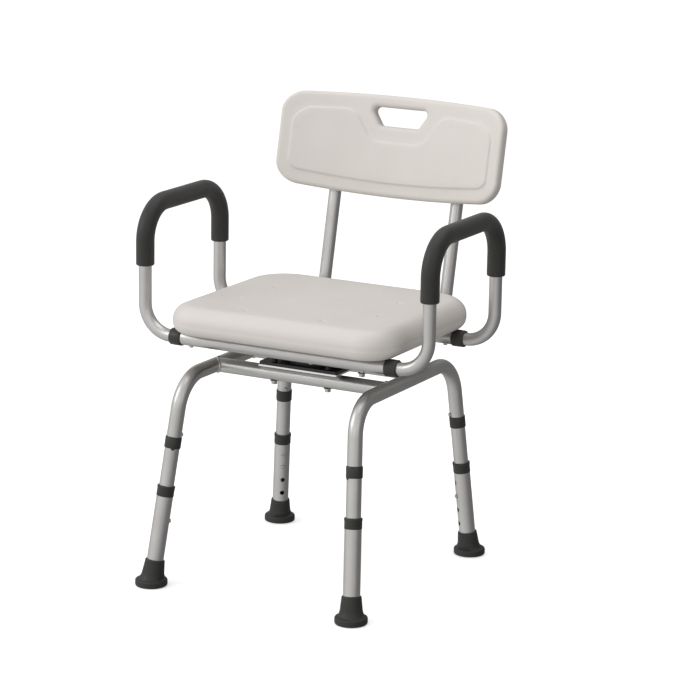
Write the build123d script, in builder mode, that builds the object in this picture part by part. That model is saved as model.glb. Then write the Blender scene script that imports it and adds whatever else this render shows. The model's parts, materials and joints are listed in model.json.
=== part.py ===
from build123d import *
from math import cos, hypot, radians, sin
import os

# Swivel shower chair: four telescoping legs carry a low frame, a ball-bearing turntable stands on
# the frame, and the seat, the two plug-in arms and the back turn on it.
os.makedirs("parts", exist_ok=True)

# ---- Driving dimensions, in millimetres ----
# The origin is on the floor, under the middle of the chair's box. +X is the sitter's left-to-right
# as seen from the front, +Y is to the back. Frame positions are given from the swivel axis.
axis_y = -28.4          # where the swivel axis stands in the chair's frame

# Tube stock
frame_od = 25.4
frame_wall = 1.5
leg_od = 28.6
leg_wall = 1.3
arm_od = 22.2
arm_wall = 1.5
sliding_gap = 0.2       # radial room between a plugged tube and its socket

# Base frame: corners are where a side tube's axis meets the leg's axis
base_z = 356.3
corner_x = 166.1
corner_front = -173.2
corner_rear = 180.0
foot_x = 193.7
foot_front = -229.2
foot_rear = 212.6
leg_bend = 62.0
base_cross_y = 61.3

# Distances down each leg from its corner
stub_end = 111.5
socket_collar_length = 20.0
socket_collar_wall = 1.4
lower_collar_wall = 1.1
spigot_length = 47.0
socket_button_at = 97.5
extension_end = 270.0
lower_tube_start = 188.5
lower_collar_end = 205.5
first_height_hole = 222.8
hole_pitch = 25.4
hole_count = 4
button_hole = 1         # the height button stands in this hole, counted from 0
foot_start = 316.3
tube_above_floor = 9.0

# Rubber foot
foot_flange_d = 55.5
foot_rim_z = 7.5
foot_bulge_d = 51.6
foot_bulge_z = 13.0
foot_shoulder_d = 39.6
foot_shoulder_z = 17.5
foot_neck_d = 33.2
foot_flare = 6.0        # the neck widens downwards by this angle
foot_sole_fillet = 3.0

# Snap buttons
button_d = 7.4
button_hole_d = 8.2
button_height = 2.8
leaf_width = 8.0
leaf_thickness = 0.8
leaf_length = 24.0
leaf_return = 8.4
leaf_gap = 1.9          # the leaf lies this far inside the bore, so a press has room
leaf_toe = 5.0
leaf_heel = 6.0
button_edge = 1.6
inward_angle = 50.0     # the leg buttons look this far from X towards the chair's middle

# Turntable
plate_size = 153.0
plate_thickness = 3.0
plate_corner = 3.0
pad_thickness = 4.8
pad_margin = 1.5
bolt_x = 52.0
bolt_d = 6.0
bolt_hole_d = 6.6
race_od = 130.0
race_id = 74.0
race_height = 8.0
ball_d = 9.5
ball_circle_d = 102.0
ball_count = 24
ball_room = 0.3
cage_thickness = 2.3
cage_margin = 4.0
pivot_d = 12.0
pivot_clearance = 0.05
pivot_end = 10.0        # how far the pivot stands over the top plate
pivot_head = 6.0
pivot_hex = 9.2         # from the middle to a corner
pivot_washer_d = 24.0
pivot_washer = 1.6
pivot_nut = 7.0
face_gap = 0.3

# Bolts, nuts and screws
bolt_head_d = 11.0
bolt_head = 4.4
bolt_head_taper = 14.0
bolt_end = 7.0          # how far a base bolt stands out under its tube
nut_hex = 5.8
nut_height = 5.0
nut_washer_d = 14.0
nut_washer = 1.2
seat_screw_y = 100.0
seat_screw_head_d = 10.0
seat_screw_head = 3.0
seat_screw_bite = 14.0  # how far a seat screw goes into the seat

# Seat frame
seat_tube_z = base_z + 56.2
seat_tube_y = 123.9
socket_x = 206.8
socket_collar_d = 29.4
arm_collar_length = 22.0
rail_x = 52.0

# Arms
arm_x = 272.3
arm_top_z = seat_tube_z + 219.9
arm_lower_bend = 52.0
arm_upper_bend = 62.0
arm_button_near = 27.0
arm_button_far = 56.0
arm_tail = 15.0
grip_d = 31.8
grip_end_z = seat_tube_z + 117.4

# Seat panel
seat_width = 426.0
seat_front = -172.0
seat_rear = 198.0
seat_thickness = 50.0
seat_front_corner = 58.0
seat_rear_corner = 80.0
seat_top_fillet = 26.0
seat_bottom_fillet = 19.0
panel_wall = 3.5

# Back
upright_x = 121.6
upright_y = 230.0       # where the uprights' axes stand at recline_z
recline_z = seat_tube_z - 4.5
recline_slope = 0.218
upright_bend = 45.0
upright_top = 340.0     # length of the straight run above recline_z
back_socket_end = 184.0
upright_plug_in = 150.0
back_centre = 297.0     # up the recline from recline_z
back_front_face = 21.5  # from the uprights' axes to the panel's front, at its middle
back_thickness = 24.0
back_curve = 650.0
back_half_width = 220.0
back_half_height = 90.0
back_edge_drop = 9.5    # how far the long edges fall away at the corners
back_corner = 40.0
back_front_fillet = 7.0
back_rear_fillet = 6.0
handle_top = 68.5
handle_bottom = 35.5
handle_top_half = 59.0
handle_bottom_half = 37.5
handle_corner = 8.0
back_screw_heights = (250.0, 325.0)
back_screw_head_d = 8.0
back_screw_head = 2.4
back_screw_d = 4.0
back_screw_bite = 6.0

# ---- Worked out from the above ----
frame_r = frame_od / 2
frame_bore = frame_od - 2 * frame_wall
arm_bore = arm_od - 2 * arm_wall
leg_bore = leg_od - 2 * leg_wall
plate_z = base_z + frame_r
pad_z = plate_z + plate_thickness
lower_race_z = pad_z + pad_thickness
top_plate_z = seat_tube_z - frame_r - plate_thickness
ball_z = (lower_race_z + top_plate_z) / 2
seat_bottom_z = seat_tube_z + frame_r
SIDES = {"left": -1, "right": 1}
ENDS = {"front": (corner_front, foot_front, -1), "rear": (corner_rear, foot_rear, 1)}
from_base = (Align.CENTER, Align.CENTER, Align.MIN)
swivel_bolts = [(x, y) for x in (-bolt_x, bolt_x) for y in (-base_cross_y, base_cross_y)]


def spot(x, y, z):
    """A point given from the swivel axis and the floor, in the chair's frame."""
    return Vector(x, y + axis_y, z)


def upward(z):
    """The level plane at height z, centred on the swivel axis, facing up."""
    return Plane(origin=spot(0, 0, z))


def save(piece, name):
    """Label a finished piece and write its STEP."""
    piece.part.label = name
    export_step(piece.part, f"parts/{name}.step")


def ring(outer_d, inner_d):
    """A ring-shaped profile in the sketch that is open."""
    Circle(outer_d / 2)
    Circle(inner_d / 2, mode=Mode.SUBTRACT)


def bent_tube(points, radii, outer_d, inner_d):
    """A tube along straight runs that are joined by bends."""
    with BuildPart() as tube:
        with BuildLine():
            route = FilletPolyline(*points, radius=radii)
        with BuildSketch(Plane(origin=route @ 0, z_dir=route % 0)):
            ring(outer_d, inner_d)
        sweep()
    return tube


def leg_plane(side, end):
    """The plane across a leg at its corner: Z runs down the leg, X towards the chair's middle."""
    corner_y, foot_y, sign = ENDS[end]
    corner = spot(SIDES[side] * corner_x, corner_y, base_z)
    down = (spot(SIDES[side] * foot_x, foot_y, 0) - corner).normalized()
    angle = radians(inward_angle)
    inward = Vector(-SIDES[side] * cos(angle), -sign * sin(angle), 0)
    inward = (inward - down * inward.dot(down)).normalized()
    return Plane(origin=corner, x_dir=inward, z_dir=down)


def leg_length(end):
    """From the corner to the floor, down the leg's axis."""
    corner_y, foot_y, _ = ENDS[end]
    return hypot(foot_x - corner_x, foot_y - corner_y, base_z)


def button_plane(tube_plane, at):
    """The plane of a button's axis: Z points out of the tube, X along the tube, away from the leaf."""
    centre = tube_plane.origin + tube_plane.z_dir * at
    return Plane(origin=centre, x_dir=tube_plane.z_dir, z_dir=tube_plane.x_dir)


def snap_button(plane, bore_d, outer_d):
    """A domed button on a folded spring leaf that lies inside the tube."""
    leaf_top = bore_d / 2 - leaf_gap
    bend = leaf_return / 2
    with BuildPart() as button:
        with BuildSketch(plane.offset(leaf_top - leaf_thickness)):
            Circle(button_d / 2)
        extrude(amount=outer_d / 2 + button_height - leaf_top + leaf_thickness)
        fillet(button.faces().sort_by(Axis(plane.origin, plane.z_dir))[-1].edges(), button_edge)
        side = Plane(origin=plane.origin, x_dir=plane.x_dir, z_dir=plane.y_dir * -1)
        with BuildSketch(side):
            with BuildLine():
                Polyline(
                    (leaf_toe, leaf_top),
                    (-leaf_length, leaf_top),
                )
                ThreePointArc(
                    (-leaf_length, leaf_top),
                    (-leaf_length - bend, leaf_top - bend),
                    (-leaf_length, leaf_top - leaf_return),
                )
                Polyline(
                    (-leaf_length, leaf_top - leaf_return),
                    (-leaf_heel, leaf_top - leaf_return),
                    (-leaf_heel, leaf_top - leaf_return + leaf_thickness),
                    (-leaf_length, leaf_top - leaf_return + leaf_thickness),
                )
                ThreePointArc(
                    (-leaf_length, leaf_top - leaf_return + leaf_thickness),
                    (-leaf_length - bend + leaf_thickness, leaf_top - bend),
                    (-leaf_length, leaf_top - leaf_thickness),
                )
                Polyline(
                    (-leaf_length, leaf_top - leaf_thickness),
                    (leaf_toe, leaf_top - leaf_thickness),
                    (leaf_toe, leaf_top),
                )
            make_face()
        extrude(amount=leaf_width / 2, both=True)
    return button


def button_bore(plane):
    """Cut a button's hole through one wall of the tube that is open."""
    with Locations(plane):
        Cylinder(button_hole_d / 2, leg_od, align=from_base, mode=Mode.SUBTRACT)


# ---- Base frame ----
# Each side is one bent tube: a leg stub, the run along the side, and the other leg stub.
for side in SIDES:
    front = leg_plane(side, "front")
    rear = leg_plane(side, "rear")
    ends = [front.origin + front.z_dir * stub_end, front.origin, rear.origin]
    ends.append(rear.origin + rear.z_dir * stub_end)
    base_side_tube = bent_tube(ends, leg_bend, frame_od, frame_bore)
    with base_side_tube:
        button_bore(button_plane(front, socket_button_at))
        button_bore(button_plane(rear, socket_button_at))
    save(base_side_tube, f"base_side_tube_{side}")

for end, sign in (("front", -1), ("rear", 1)):
    across = Plane(origin=spot(-corner_x, sign * base_cross_y, base_z), x_dir=(0, 1, 0), z_dir=(1, 0, 0))
    with BuildPart() as base_cross_tube:
        with BuildSketch(across):
            ring(frame_od, frame_bore)
        extrude(amount=2 * corner_x)
        # coped round the side tubes
        for sx in SIDES.values():
            with BuildSketch(Plane(origin=spot(sx * corner_x, -corner_x, base_z), z_dir=(0, 1, 0))):
                Circle(frame_r)
            extrude(amount=2 * corner_x, mode=Mode.SUBTRACT)
        with BuildSketch(Plane(origin=spot(0, sign * base_cross_y, base_z))):
            with Locations((-bolt_x, 0), (bolt_x, 0)):
                Circle(bolt_hole_d / 2)
        extrude(amount=frame_od, both=True, mode=Mode.SUBTRACT)
    save(base_cross_tube, f"base_cross_tube_{end}")

# ---- Legs ----
socket_start = stub_end - socket_collar_length / 2
height_button_at = first_height_hole + button_hole * hole_pitch
foot_rim = (foot_flange_d / 2, foot_rim_z)
foot_bulge = (foot_bulge_d / 2, foot_bulge_z)
foot_shoulder = (foot_shoulder_d / 2, foot_shoulder_z)
with BuildPart() as leg_socket_collars:
    for side in SIDES:
        for end in ENDS:
            leg = leg_plane(side, end)
            with BuildSketch(leg.offset(socket_start)):
                ring(frame_od + 2 * socket_collar_wall, frame_od)
            extrude(amount=socket_collar_length)
save(leg_socket_collars, "leg_socket_collars")

for side in SIDES:
    for end in ENDS:
        leg = leg_plane(side, end)
        name = f"{end}_{side}"
        length = leg_length(end)
        spigot_od = frame_bore - 2 * sliding_gap
        spigot_bore = spigot_od - 2 * frame_wall
        socket_button_plane = button_plane(leg, socket_button_at)
        height_button_plane = button_plane(leg, height_button_at)

        # The extension tube is necked down at the top, where it plugs into the stub
        with BuildPart() as leg_extension_tube:
            with BuildSketch(leg.offset(stub_end)):
                ring(frame_od, frame_bore)
            extrude(amount=extension_end - stub_end)
            with BuildSketch(leg.offset(stub_end)):
                ring(frame_od, spigot_bore)
            extrude(amount=frame_wall)
            with BuildSketch(leg.offset(stub_end - spigot_length)):
                ring(spigot_od, spigot_bore)
            extrude(amount=spigot_length)
            button_bore(socket_button_plane)
            button_bore(height_button_plane)
        save(leg_extension_tube, f"leg_extension_tube_{name}")

        save(snap_button(socket_button_plane, spigot_bore, frame_od), f"leg_socket_button_{name}")
        save(snap_button(height_button_plane, frame_bore, leg_od), f"leg_height_button_{name}")

        with BuildPart() as leg_lower_tube:
            with BuildSketch(leg.offset(lower_tube_start)):
                ring(leg_od, leg_bore)
            extrude(amount=length - tube_above_floor - lower_tube_start)
            for hole in range(hole_count):
                button_bore(button_plane(leg, first_height_hole + hole * hole_pitch))
        save(leg_lower_tube, f"leg_lower_tube_{name}")

        # The collar caps the lower tube's top end, so its lip is as wide as the tube's bore
        with BuildPart() as leg_lower_collar:
            with BuildSketch(leg.offset(lower_tube_start - frame_wall)):
                Circle(leg_od / 2 + lower_collar_wall)
            extrude(amount=lower_collar_end - lower_tube_start + frame_wall)
            with BuildSketch(leg.offset(lower_tube_start)):
                Circle(leg_od / 2)
            extrude(amount=lower_collar_end - lower_tube_start, mode=Mode.SUBTRACT)
            with BuildSketch(leg.offset(lower_tube_start - frame_wall)):
                Circle(leg_bore / 2)
            extrude(amount=frame_wall, mode=Mode.SUBTRACT)
        save(leg_lower_collar, f"leg_lower_collar_{name}")

        # The foot's neck follows the leg and its flange lies flat on the floor
        foot_centre = leg.origin + leg.z_dir * length
        with BuildPart() as leg_foot:
            with BuildSketch(Plane(origin=foot_centre, x_dir=(1, 0, 0), z_dir=(0, -1, 0))):
                with BuildLine():
                    Polyline((0, foot_shoulder_z), (0, 0), (foot_flange_d / 2, 0), foot_rim)
                    ThreePointArc(foot_rim, foot_bulge, foot_shoulder)
                    Line(foot_shoulder, (0, foot_shoulder_z))
                make_face()
            revolve(axis=Axis(foot_centre, (0, 0, 1)))
            fillet(leg_foot.faces().sort_by(Axis.Z)[0].edges(), foot_sole_fillet)
            with BuildSketch(leg.offset(foot_start)):
                Circle(foot_neck_d / 2)
            extrude(amount=length - foot_start - tube_above_floor, taper=-foot_flare)
            with BuildSketch(leg.offset(foot_start)):
                Circle(leg_od / 2)
            extrude(amount=length - foot_start - tube_above_floor, mode=Mode.SUBTRACT)
        save(leg_foot, f"leg_foot_{name}")


# ---- Turntable ----
def plate(z, thickness, margin, centre_hole):
    """A square plate with rounded corners, four bolt holes and a hole on the swivel axis."""
    with BuildPart() as piece:
        with BuildSketch(upward(z)) as outline:
            Rectangle(plate_size - 2 * margin, plate_size - 2 * margin)
            fillet(outline.vertices(), plate_corner)
            with Locations(*swivel_bolts):
                Circle(bolt_hole_d / 2, mode=Mode.SUBTRACT)
            Circle(centre_hole / 2, mode=Mode.SUBTRACT)
        extrude(amount=thickness)
    return piece


def race(z, groove_z):
    """A flat ring with a groove that the balls run in."""
    with BuildPart() as piece:
        with BuildSketch(upward(z)):
            ring(race_od, race_id)
        extrude(amount=race_height)
        with BuildSketch(Plane(origin=spot(0, 0, groove_z), x_dir=(1, 0, 0), z_dir=(0, -1, 0))):
            with Locations((ball_circle_d / 2, 0)):
                Circle(ball_d / 2 + ball_room)
        revolve(axis=Axis(spot(0, 0, 0), (0, 0, 1)), mode=Mode.SUBTRACT)
    return piece


def bolts(z, head_below, shank, positions, head_d=bolt_head_d, head_height=bolt_head):
    """Round-headed bolts: the head sits at z, and the shank runs on from it."""
    way = 1 if head_below else -1
    with BuildPart() as piece:
        for x, y in positions:
            with BuildSketch(Plane(origin=spot(x, y, z), z_dir=(0, 0, way))):
                Circle(bolt_d / 2)
            extrude(amount=shank)
            with BuildSketch(Plane(origin=spot(x, y, z), z_dir=(0, 0, -way))):
                Circle(head_d / 2)
            extrude(amount=head_height, taper=bolt_head_taper)
    return piece


save(plate(plate_z, plate_thickness, 0, pivot_d), "swivel_base_plate")
save(plate(pad_z, pad_thickness, pad_margin, pivot_d), "swivel_base_pad")
save(race(lower_race_z, ball_z), "swivel_lower_race")
save(race(top_plate_z - race_height, ball_z), "swivel_upper_race")
save(plate(top_plate_z, plate_thickness, 0, pivot_d + 2 * pivot_clearance), "swivel_top_plate")

with BuildPart() as swivel_ball_cage:
    with BuildSketch(upward(ball_z - cage_thickness / 2)):
        ring(race_od - 2 * cage_margin, race_id + 2 * cage_margin)
        with PolarLocations(ball_circle_d / 2, ball_count):
            Circle(ball_d / 2 + ball_room, mode=Mode.SUBTRACT)
    extrude(amount=cage_thickness)
save(swivel_ball_cage, "swivel_ball_cage")

with BuildPart() as swivel_balls:
    with Locations(Plane(origin=spot(0, 0, ball_z))):
        with PolarLocations(ball_circle_d / 2, ball_count):
            Sphere(ball_d / 2)
save(swivel_balls, "swivel_balls")

# The pivot's head is under the base plate, and its nut is over the top plate
with BuildPart() as swivel_pivot_bolt:
    with BuildSketch(upward(plate_z)):
        RegularPolygon(pivot_hex, 6)
    extrude(amount=-pivot_head)
    with BuildSketch(upward(plate_z)):
        Circle(pivot_d / 2)
    extrude(amount=top_plate_z + plate_thickness + pivot_end - plate_z)
save(swivel_pivot_bolt, "swivel_pivot_bolt")

with BuildPart() as swivel_pivot_nut:
    with BuildSketch(upward(top_plate_z + plate_thickness + face_gap)):
        ring(pivot_washer_d, pivot_d)
    extrude(amount=pivot_washer)
    with BuildSketch(upward(top_plate_z + plate_thickness + face_gap + pivot_washer)):
        RegularPolygon(pivot_hex, 6)
        Circle(pivot_d / 2, mode=Mode.SUBTRACT)
    extrude(amount=pivot_nut)
save(swivel_pivot_nut, "swivel_pivot_nut")

base_bolt_length = plate_thickness + pad_thickness + frame_od + bolt_end
save(bolts(lower_race_z, False, base_bolt_length, swivel_bolts), "base_plate_bolts")
save(bolts(top_plate_z, True, plate_thickness + frame_od - bolt_d, swivel_bolts), "top_plate_bolts")

with BuildPart() as base_plate_nuts:
    for x, y in swivel_bolts:
        with BuildSketch(Plane(origin=spot(x, y, base_z - frame_r), z_dir=(0, 0, -1))):
            ring(nut_washer_d, bolt_d)
        extrude(amount=nut_washer)
        with BuildSketch(Plane(origin=spot(x, y, base_z - frame_r - nut_washer), z_dir=(0, 0, -1))):
            RegularPolygon(nut_hex, 6)
            Circle(bolt_d / 2, mode=Mode.SUBTRACT)
        extrude(amount=nut_height)
save(base_plate_nuts, "base_plate_nuts")

# ---- Seat frame ----
# The two arms are alike, and the second is the first turned half round. So the near button is at
# the left front and the right rear, and the far one at the other two.
arm_buttons = {}
for side, sx in SIDES.items():
    for end, sign in (("front", -1), ("rear", 1)):
        inboard = arm_button_near if sx * sign > 0 else arm_button_far
        arm_buttons[end, side] = (sx, sign, inboard)


def arm_button_plane(end, side):
    """The plane of an arm's button: Z points down, X along the socket away from the arm."""
    sx, sign, inboard = arm_buttons[end, side]
    centre = spot(sx * (socket_x - inboard), sign * seat_tube_y, seat_tube_z)
    return Plane(origin=centre, x_dir=(-sx, 0, 0), z_dir=(0, 0, -1))


for end, sign in (("front", -1), ("rear", 1)):
    start = spot(-socket_x, sign * seat_tube_y, seat_tube_z)
    with BuildPart() as seat_cross_tube:
        with BuildSketch(Plane(origin=start, x_dir=(0, 1, 0), z_dir=(1, 0, 0))):
            ring(frame_od, frame_bore)
        extrude(amount=2 * socket_x)
        for side in SIDES:
            button_bore(arm_button_plane(end, side))
    save(seat_cross_tube, f"seat_cross_tube_{end}")

with BuildPart() as seat_rails:
    for sx in SIDES.values():
        with BuildSketch(Plane(origin=spot(sx * rail_x, -seat_tube_y, seat_tube_z), z_dir=(0, 1, 0))):
            ring(frame_od, frame_bore)
        extrude(amount=2 * seat_tube_y)
    for sign in (-1, 1):
        start = spot(-socket_x, sign * seat_tube_y, seat_tube_z)
        with BuildSketch(Plane(origin=start, x_dir=(0, 1, 0), z_dir=(1, 0, 0))):
            Circle(frame_r)
        extrude(amount=2 * socket_x, mode=Mode.SUBTRACT)
    with BuildSketch(upward(seat_tube_z)):
        with Locations(*swivel_bolts):
            Circle(bolt_hole_d / 2)
    extrude(amount=-frame_od, mode=Mode.SUBTRACT)
    screw_spots = [(x, y) for x in (-rail_x, rail_x) for y in (-seat_screw_y, seat_screw_y)]
    with BuildSketch(upward(seat_tube_z)):
        with Locations(*screw_spots):
            Circle(bolt_hole_d / 2)
    extrude(amount=frame_od, both=True, mode=Mode.SUBTRACT)
save(seat_rails, "seat_rails")

with BuildPart() as back_sockets:
    for sx in SIDES.values():
        start = spot(sx * upright_x, seat_tube_y, seat_tube_z)
        with BuildSketch(Plane(origin=start, z_dir=(0, 1, 0))):
            ring(frame_od, frame_bore)
        extrude(amount=back_socket_end - seat_tube_y)
    start = spot(-socket_x, seat_tube_y, seat_tube_z)
    with BuildSketch(Plane(origin=start, x_dir=(0, 1, 0), z_dir=(1, 0, 0))):
        Circle(frame_r)
    extrude(amount=2 * socket_x, mode=Mode.SUBTRACT)
save(back_sockets, "back_sockets")

# ---- Seat panel: a closed, hollow moulding that rests on the seat frame ----
seat_depth = seat_rear - seat_front
seat_middle = (seat_rear + seat_front) / 2


def seat_shape(inset):
    """The seat's cushion shape, made smaller all round by inset."""
    with BuildPart() as shape:
        with BuildSketch(Plane(origin=spot(0, seat_middle, seat_bottom_z + inset))) as outline:
            Rectangle(seat_width - 2 * inset, seat_depth - 2 * inset)
            corners = outline.vertices().sort_by(Axis.Y)
            fillet(corners[:2], seat_front_corner - inset)
            rear_corners = outline.vertices().sort_by(Axis.Y)[-2:]
            fillet(rear_corners, seat_rear_corner - inset)
        extrude(amount=seat_thickness - 2 * inset)
        fillet(shape.faces().sort_by(Axis.Z)[-1].edges(), seat_top_fillet - inset)
        fillet(shape.faces().sort_by(Axis.Z)[0].edges(), seat_bottom_fillet - inset)
    return shape


seat_panel = seat_shape(0)
with seat_panel:
    add(seat_shape(panel_wall).part, mode=Mode.SUBTRACT)
    for screw in screw_spots:
        with Locations(spot(*screw, seat_bottom_z)):
            Cylinder(bolt_d / 2, panel_wall, align=from_base, mode=Mode.SUBTRACT)
    # the underside is hollowed over the arm sockets' collars
    for sx in SIDES.values():
        for sign in (-1, 1):
            mouth = spot(sx * socket_x, sign * seat_tube_y, seat_tube_z)
            with Locations(Plane(origin=mouth, z_dir=(1, 0, 0))):
                Cylinder(socket_collar_d / 2 + face_gap, arm_collar_length + 2, mode=Mode.SUBTRACT)
save(seat_panel, "seat_panel")

screw_length = frame_od + seat_screw_bite
seat_panel_screws = bolts(
    seat_tube_z - frame_r, True, screw_length, screw_spots, seat_screw_head_d, seat_screw_head
)
save(seat_panel_screws, "seat_panel_screws")

# ---- Arms ----
for side, sx in SIDES.items():
    inner_front = socket_x - arm_buttons["front", side][2] - arm_tail
    inner_rear = socket_x - arm_buttons["rear", side][2] - arm_tail
    loop = [
        spot(sx * inner_front, -seat_tube_y, seat_tube_z),
        spot(sx * arm_x, -seat_tube_y, seat_tube_z),
        spot(sx * arm_x, -seat_tube_y, arm_top_z),
        spot(sx * arm_x, seat_tube_y, arm_top_z),
        spot(sx * arm_x, seat_tube_y, seat_tube_z),
        spot(sx * inner_rear, seat_tube_y, seat_tube_z),
    ]
    bends = [arm_lower_bend, arm_upper_bend, arm_upper_bend, arm_lower_bend]
    arm_tube = bent_tube(loop, bends, arm_od, arm_bore)
    with arm_tube:
        button_bore(arm_button_plane("front", side))
        button_bore(arm_button_plane("rear", side))
    save(arm_tube, f"arm_tube_{side}")

    over_the_top = [
        spot(sx * arm_x, -seat_tube_y, grip_end_z),
        spot(sx * arm_x, -seat_tube_y, arm_top_z),
        spot(sx * arm_x, seat_tube_y, arm_top_z),
        spot(sx * arm_x, seat_tube_y, grip_end_z),
    ]
    save(bent_tube(over_the_top, arm_upper_bend, grip_d, arm_od), f"arm_grip_{side}")

for end, side in arm_buttons:
    button = snap_button(arm_button_plane(end, side), arm_bore, frame_od)
    save(button, f"arm_button_{end}_{side}")

with BuildPart() as arm_socket_collars:
    for sx in SIDES.values():
        for sign in (-1, 1):
            mouth = spot(sx * socket_x, sign * seat_tube_y, seat_tube_z)
            inner_end = Plane(origin=mouth, z_dir=(-sx, 0, 0))
            outer_end = Plane(origin=mouth, z_dir=(sx, 0, 0))
            with BuildSketch(inner_end):
                ring(socket_collar_d, frame_od)
            extrude(amount=arm_collar_length / 2)
            with BuildSketch(outer_end):
                ring(socket_collar_d, arm_od)
            extrude(amount=arm_collar_length / 2)
save(arm_socket_collars, "arm_socket_collars")


# ---- Back ----
lean = Vector(0, recline_slope, 1).normalized()
to_rear = Vector(0, lean.Z, -lean.Y)
foot_of_back = spot(0, upright_y, recline_z)
panel_origin = foot_of_back + lean * back_centre - to_rear * back_front_face
panel_plane = Plane(origin=panel_origin, x_dir=(1, 0, 0), z_dir=to_rear * -1)
bend_y = upright_y + recline_slope * (seat_tube_z - recline_z)
back_screw_planes = {
    side: [
        Plane(origin=foot_of_back + Vector(sx * upright_x, 0, 0) + lean * height, z_dir=to_rear * -1)
        for height in back_screw_heights
    ]
    for side, sx in SIDES.items()
}

for side, sx in SIDES.items():
    route = [
        spot(sx * upright_x, upright_plug_in, seat_tube_z),
        spot(sx * upright_x, bend_y, seat_tube_z),
        foot_of_back + Vector(sx * upright_x, 0, 0) + lean * upright_top,
    ]
    back_upright = bent_tube(route, upright_bend, arm_od, arm_bore)
    with back_upright:
        for plane in back_screw_planes[side]:
            with Locations(plane):
                Cylinder(back_screw_d / 2, 2 * arm_od, mode=Mode.SUBTRACT)
    save(back_upright, f"back_upright_{side}")


def back_slab(inset):
    """The back's shape, made smaller all round by inset."""
    half_width = back_half_width - inset
    middle = back_half_height - inset
    end = middle - back_edge_drop
    top = handle_top + inset
    bottom = handle_bottom - inset
    top_half = handle_top_half + inset
    bottom_half = handle_bottom_half + inset
    arc_centre = panel_origin - to_rear * back_curve - lean * 2 * back_half_height
    with BuildPart() as slab:
        with BuildSketch(panel_plane.offset(back_half_width)) as face:
            with BuildLine():
                ThreePointArc((-half_width, end), (0, middle), (half_width, end))
                Line((half_width, end), (half_width, -end))
                ThreePointArc((half_width, -end), (0, -middle), (-half_width, -end))
                Line((-half_width, -end), (-half_width, end))
            make_face()
            fillet(face.vertices(), back_corner - inset)
        extrude(amount=-2 * back_half_width)
        with BuildSketch(panel_plane.offset(back_half_width)) as hole:
            with BuildLine():
                Polyline(
                    (-top_half, top),
                    (top_half, top),
                    (bottom_half, bottom),
                    (-bottom_half, bottom),
                    close=True,
                )
            make_face()
            fillet(hole.vertices(), handle_corner + inset)
        extrude(amount=-2 * back_half_width, mode=Mode.SUBTRACT)
        with BuildSketch(Plane(origin=arc_centre, x_dir=(1, 0, 0), z_dir=lean)):
            Circle(back_curve + back_thickness - inset)
            Circle(back_curve + inset, mode=Mode.SUBTRACT)
        extrude(amount=4 * back_half_height, mode=Mode.INTERSECT)
    return slab


back_panel = back_slab(0)
with back_panel:
    large_faces = back_panel.faces().sort_by(SortBy.AREA)[-2:]
    front_and_rear = large_faces.sort_by(Axis(panel_origin, to_rear))
    fillet(front_and_rear[0].edges(), back_front_fillet)
    rear_face = back_panel.faces().sort_by(SortBy.AREA)[-1:]
    fillet(rear_face.edges(), back_rear_fillet)
    add(back_slab(panel_wall).part, mode=Mode.SUBTRACT)
    # the uprights lie in shallow grooves in the rear face
    for sx in SIDES.values():
        with Locations(Plane(origin=foot_of_back + Vector(sx * upright_x, 0, 0), z_dir=lean)):
            Cylinder(arm_od / 2, upright_top, align=from_base, mode=Mode.SUBTRACT)
    for plane in back_screw_planes["left"] + back_screw_planes["right"]:
        with Locations(plane):
            Cylinder(back_screw_d / 2, arm_od, align=from_base, mode=Mode.SUBTRACT)
save(back_panel, "back_panel")

with BuildPart() as back_panel_screws:
    for plane in back_screw_planes["left"] + back_screw_planes["right"]:
        with Locations(plane.offset(-arm_od / 2 - back_screw_head)):
            Cylinder(back_screw_head_d / 2, back_screw_head, align=from_base)
        with Locations(plane.offset(-arm_od / 2)):
            Cylinder(back_screw_d / 2, arm_od + back_screw_bite, align=from_base)
save(back_panel_screws, "back_panel_screws")
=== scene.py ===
"""Looks for a swivel shower chair: shells, foam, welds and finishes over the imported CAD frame."""

import json
import logging
from dataclasses import dataclass
from enum import Enum
from math import cos, pi, radians, sin, sqrt
from typing import Iterable, Sequence

import bmesh
import bpy
import numpy as np
from mathutils import Matrix, Vector
from mathutils.geometry import delaunay_2d_cdt

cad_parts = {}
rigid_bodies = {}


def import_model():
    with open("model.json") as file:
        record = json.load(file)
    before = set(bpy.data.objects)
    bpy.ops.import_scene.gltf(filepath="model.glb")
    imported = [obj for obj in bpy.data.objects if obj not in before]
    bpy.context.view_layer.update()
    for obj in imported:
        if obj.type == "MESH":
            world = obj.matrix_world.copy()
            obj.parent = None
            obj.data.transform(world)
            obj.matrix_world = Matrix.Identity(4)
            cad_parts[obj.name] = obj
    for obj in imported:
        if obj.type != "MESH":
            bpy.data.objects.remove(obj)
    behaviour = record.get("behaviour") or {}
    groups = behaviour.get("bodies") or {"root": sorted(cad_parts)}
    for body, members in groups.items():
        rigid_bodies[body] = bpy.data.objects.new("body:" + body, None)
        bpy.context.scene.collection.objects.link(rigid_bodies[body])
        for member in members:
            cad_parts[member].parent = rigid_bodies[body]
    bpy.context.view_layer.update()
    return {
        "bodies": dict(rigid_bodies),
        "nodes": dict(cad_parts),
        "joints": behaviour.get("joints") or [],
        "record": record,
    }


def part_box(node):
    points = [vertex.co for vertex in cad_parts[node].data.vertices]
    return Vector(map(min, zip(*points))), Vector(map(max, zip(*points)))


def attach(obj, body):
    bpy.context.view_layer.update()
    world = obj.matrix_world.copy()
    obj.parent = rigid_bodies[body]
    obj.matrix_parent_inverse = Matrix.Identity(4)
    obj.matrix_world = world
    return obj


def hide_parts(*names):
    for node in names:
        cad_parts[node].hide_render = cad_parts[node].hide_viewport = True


LOG = logging.getLogger("shower_chair")
MM = 0.001
Colour = tuple[float, float, float]
Points = np.ndarray
Faces = list[tuple[int, ...]]
Skin = tuple[Points, Faces]
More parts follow.
